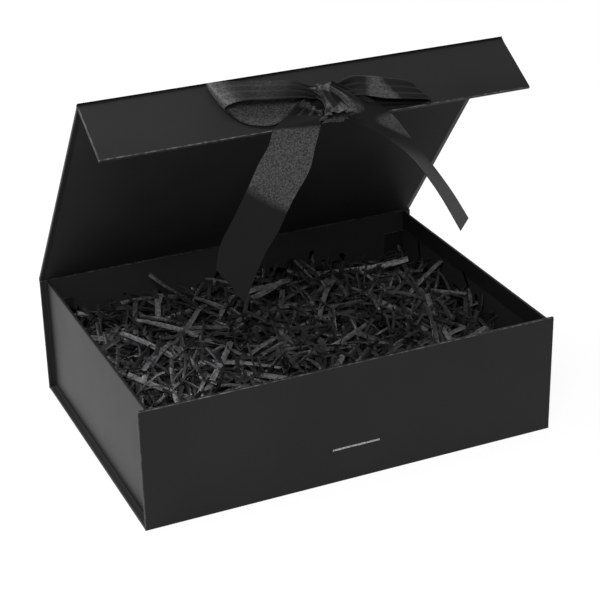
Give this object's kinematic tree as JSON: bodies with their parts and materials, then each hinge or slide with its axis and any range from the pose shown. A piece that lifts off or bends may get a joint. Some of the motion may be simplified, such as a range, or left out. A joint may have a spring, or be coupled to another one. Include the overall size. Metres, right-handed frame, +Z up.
{
  "type": "gift box",
  "caption": "Black rigid gift box with a hinged lid, magnetic closing flap, satin bow tied to the flap, ribbon slit in the front and shredded paper fill.",
  "frame": {"origin": "middle of the base's underside", "axes": "+X along the width to the right seen from the front, +Y from the front panel to the spine, +Z up"},
  "size_m": [0.33, 0.236, 0.2972],
  "materials": {
    "cover_paper": "matte black wrapping paper",
    "lining_paper": "matte black lining paper",
    "greyboard": "raw grey board",
    "ribbon": "black satin ribbon",
    "shreds": "crinkle-cut black tissue",
    "tape": "double-sided tape",
    "magnet_steel": "nickel-plated"
  },
  "bodies": {
    "box": {"base_board": "greyboard", "base_cover": "cover_paper", "base_liner": "lining_paper", "front_board": "greyboard", "front_cover": "cover_paper", "front_liner": "lining_paper", "front_catch_plates": "magnet_steel", "spine_board": "greyboard", "spine_cover": "cover_paper", "spine_liner": "lining_paper", "front_crease": "cover_paper", "back_crease": "cover_paper", "left_wall_cover": "cover_paper", "left_wall_board": "greyboard", "left_wall_liner": "lining_paper", "left_wall_foot": "cover_paper", "right_wall_cover": "cover_paper", "right_wall_board": "greyboard", "right_wall_liner": "lining_paper", "right_wall_foot": "cover_paper", "left_front_tab": "cover_paper", "left_front_tape": "tape", "left_back_tab": "cover_paper", "left_back_tape": "tape", "right_front_tab": "cover_paper", "right_front_tape": "tape", "right_back_tab": "cover_paper", "right_back_tape": "tape", "shred_fill": "shreds"},
    "hinge_strip": {"lid_hinge_strip": "cover_paper"},
    "lid": {"lid_board": "greyboard", "lid_cover": "cover_paper", "lid_liner": "lining_paper"},
    "flap": {"flap_board": "greyboard", "flap_cover": "cover_paper", "flap_liner": "lining_paper", "flap_magnets": "magnet_steel", "flap_crease": "cover_paper", "ribbon_band": "ribbon", "ribbon_knot": "ribbon", "ribbon_left_loop": "ribbon", "ribbon_right_loop": "ribbon", "left_tail_lead": "ribbon", "right_tail_lead": "ribbon"},
    "left_tail_edge": {"left_tail_edge": "ribbon"},
    "left_tail_root": {"left_tail_root": "ribbon"},
    "left_tail_upper": {"left_tail_upper": "ribbon"},
    "left_tail_end": {"left_tail_end": "ribbon"},
    "right_tail_edge": {"right_tail_edge": "ribbon"},
    "right_tail_root": {"right_tail_root": "ribbon"},
    "right_tail_upper": {"right_tail_upper": "ribbon"},
    "right_tail_end": {"right_tail_end": "ribbon"}
  },
  "joints": [
    {"name": "lid_lean", "type": "hinge", "parent": "box", "child": "hinge_strip", "pos_m": [0, 0.118, 0.096], "axis": [-1, 0, 0], "range_deg": [0, 127.6]},
    {"name": "lid_close", "type": "hinge", "parent": "hinge_strip", "child": "lid", "pos_m": [0, 0.118, 0.0989], "axis": [-1, 0, 0], "range_deg": [-52.4, 0]},
    {"name": "flap_fold", "type": "hinge", "parent": "lid", "child": "flap", "pos_m": [0, -0.02819, 0.28873], "axis": [-1, 0, 0], "range_deg": [-6.7, 83.3], "deforming": ["flap_crease"]},
    {"name": "left_tail_edge_swing", "type": "hinge", "parent": "flap", "child": "left_tail_edge", "pos_m": [-0.022, -0.0719, 0.26362], "axis": [-1, 0, 0], "range_deg": [-1, 54], "deforming": ["left_tail_edge"]},
    {"name": "left_tail_root_swing", "type": "hinge", "parent": "left_tail_edge", "child": "left_tail_root", "pos_m": [-0.028, -0.0759, 0.25562], "axis": [-1, 0, 0], "range_deg": [-62, 6], "deforming": ["left_tail_root"]},
    {"name": "left_tail_upper_swing", "type": "hinge", "parent": "left_tail_root", "child": "left_tail_upper", "pos_m": [-0.035, -0.0759, 0.24362], "axis": [-1, 0, 0], "range_deg": [-70, 1], "deforming": ["left_tail_upper"]},
    {"name": "left_tail_end_swing", "type": "hinge", "parent": "left_tail_upper", "child": "left_tail_end", "pos_m": [-0.049, -0.0759, 0.21662], "axis": [-1, 0, 0], "range_deg": [-1, 89], "deforming": ["left_tail_end"]},
    {"name": "right_tail_edge_swing", "type": "hinge", "parent": "flap", "child": "right_tail_edge", "pos_m": [0.048, -0.0719, 0.26362], "axis": [-1, 0, 0], "range_deg": [-1, 54], "deforming": ["right_tail_edge"]},
    {"name": "right_tail_root_swing", "type": "hinge", "parent": "right_tail_edge", "child": "right_tail_root", "pos_m": [0.053, -0.0759, 0.25562], "axis": [-1, 0, 0], "range_deg": [-62, 6], "deforming": ["right_tail_root"]},
    {"name": "right_tail_upper_swing", "type": "hinge", "parent": "right_tail_root", "child": "right_tail_upper", "pos_m": [0.061, -0.0759, 0.24362], "axis": [-1, 0, 0], "range_deg": [-70, 1], "deforming": ["right_tail_upper"]},
    {"name": "right_tail_end_swing", "type": "hinge", "parent": "right_tail_upper", "child": "right_tail_end", "pos_m": [0.083, -0.0759, 0.21662], "axis": [-1, 0, 0], "range_deg": [-1, 95.5], "deforming": ["right_tail_end"]}
  ],
  "couplings": [
    {"joint": "left_tail_edge_swing", "follows": "lid_close", "ratio": -1},
    {"joint": "left_tail_root_swing", "follows": "flap_fold", "ratio": -0.7},
    {"joint": "left_tail_upper_swing", "follows": "lid_lean", "ratio": -0.54},
    {"joint": "left_tail_end_swing", "follows": "lid_close", "ratio": -1.68},
    {"joint": "right_tail_edge_swing", "follows": "lid_close", "ratio": -1},
    {"joint": "right_tail_root_swing", "follows": "flap_fold", "ratio": -0.7},
    {"joint": "right_tail_upper_swing", "follows": "lid_lean", "ratio": -0.54},
    {"joint": "right_tail_end_swing", "follows": "lid_close", "ratio": -1.8}
  ]
}
